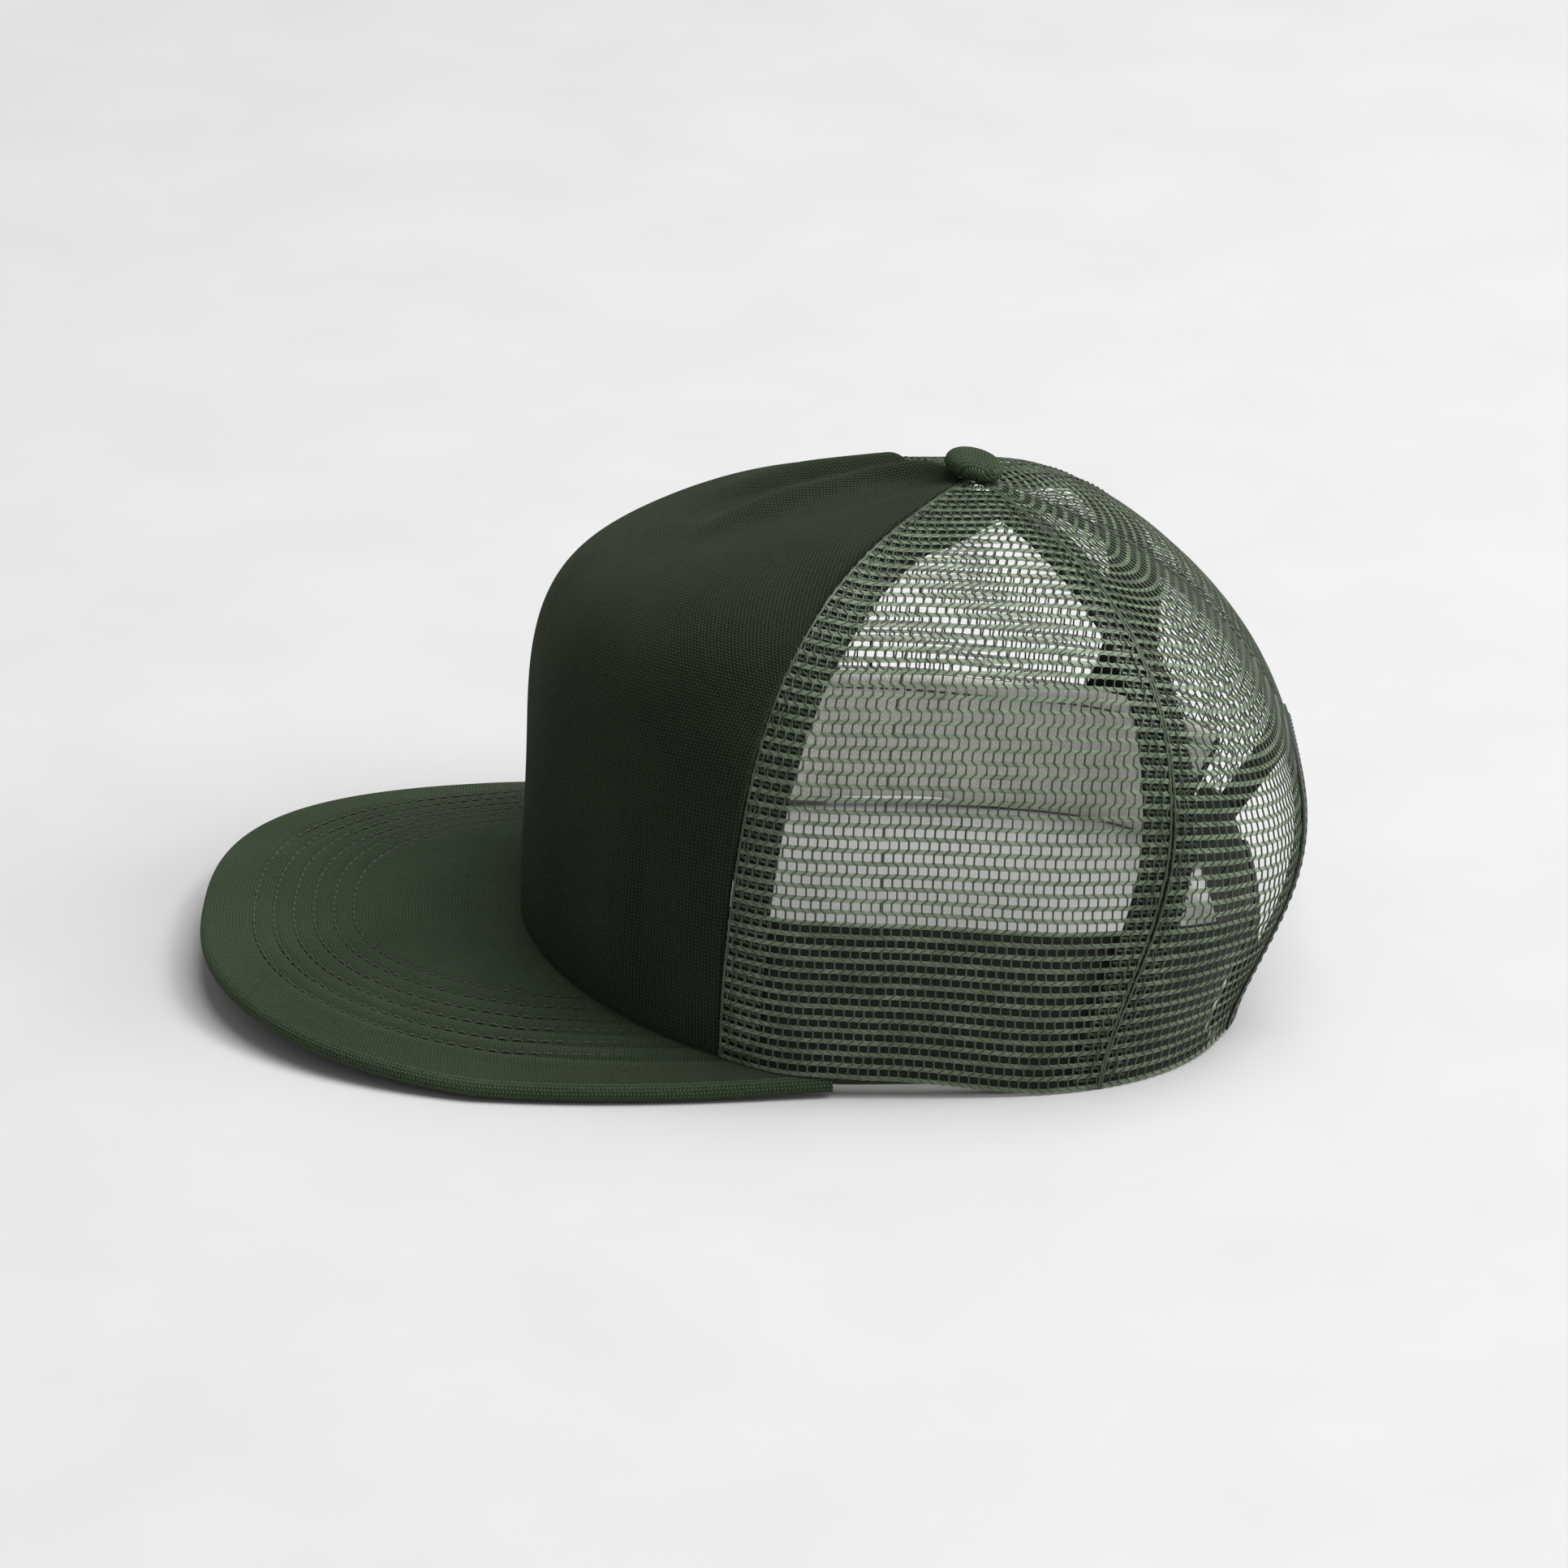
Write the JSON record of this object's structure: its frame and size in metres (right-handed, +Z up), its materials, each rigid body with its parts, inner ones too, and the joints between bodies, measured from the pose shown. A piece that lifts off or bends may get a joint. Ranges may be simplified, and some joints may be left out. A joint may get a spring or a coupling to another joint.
{
  "type": "trucker mesh cap",
  "caption": "Flat-bill trucker cap with a foam-backed cloth front, open mesh sides and back, a covered top button and a snap strap over the rear opening.",
  "frame": {"origin": "centre of the head opening, on the surface that the cap stands on", "axes": "+Y points to the back of the head, so the bill points along -Y; +Z is up through the crown; +X is the wearer's left"},
  "size_m": [0.1864, 0.2817, 0.1352],
  "materials": {
    "crown_knit": "matt bottle-green polyester knit",
    "bill_knit": "matt bottle-green polyester knit",
    "bill_lining": "matt bottle-green polyester knit",
    "button_knit": "matt bottle-green polyester knit",
    "foam_backing": "off-white foam laminate",
    "bill_board": "moulded polyethylene board",
    "mesh": "glossy nylon warp-knit mesh",
    "seam_tape": "matt woven tape",
    "binding": "matt woven binding",
    "sweatband": "matt twill band",
    "rivet_metal": "tinned wire shank",
    "strap_plastic": "satin moulded plastic"
  },
  "bodies": {
    "crown": {"front_panel": "crown_knit", "front_foam": "foam_backing", "side_mesh_left": "mesh", "side_mesh_right": "mesh", "rear_mesh_left": "mesh", "rear_mesh_right": "mesh", "front_seam_tape_left": "seam_tape", "front_seam_tape_right": "seam_tape", "rear_seam_tape_left": "seam_tape", "rear_seam_tape_right": "seam_tape", "centre_back_tape": "seam_tape", "opening_binding": "binding", "sweatband": "sweatband", "bill_top_cover": "bill_knit", "bill_board": "bill_board", "bill_under_cover": "bill_lining", "top_button": "button_knit", "button_shank": "rivet_metal", "button_back": "seam_tape", "strap_tab_left": "strap_plastic", "strap_tab_right": "strap_plastic"},
    "hole_strap": {"hole_strap": "strap_plastic"},
    "peg_strap": {"peg_strap": "strap_plastic"}
  },
  "joints": [
    {"name": "hole_strap_swing", "type": "hinge", "parent": "crown", "child": "hole_strap", "pos_m": [0.04087, 0.09225, 0.01168], "axis": [0, -0.3745, -0.9272], "range_deg": [0, 45], "stiffness_Nm_per_rad": 0.02},
    {"name": "peg_strap_swing", "type": "hinge", "parent": "crown", "child": "peg_strap", "pos_m": [-0.04062, 0.0906, 0.01234], "axis": [0, -0.3745, -0.9272], "range_deg": [0, 25], "stiffness_Nm_per_rad": 0.02}
  ]
}
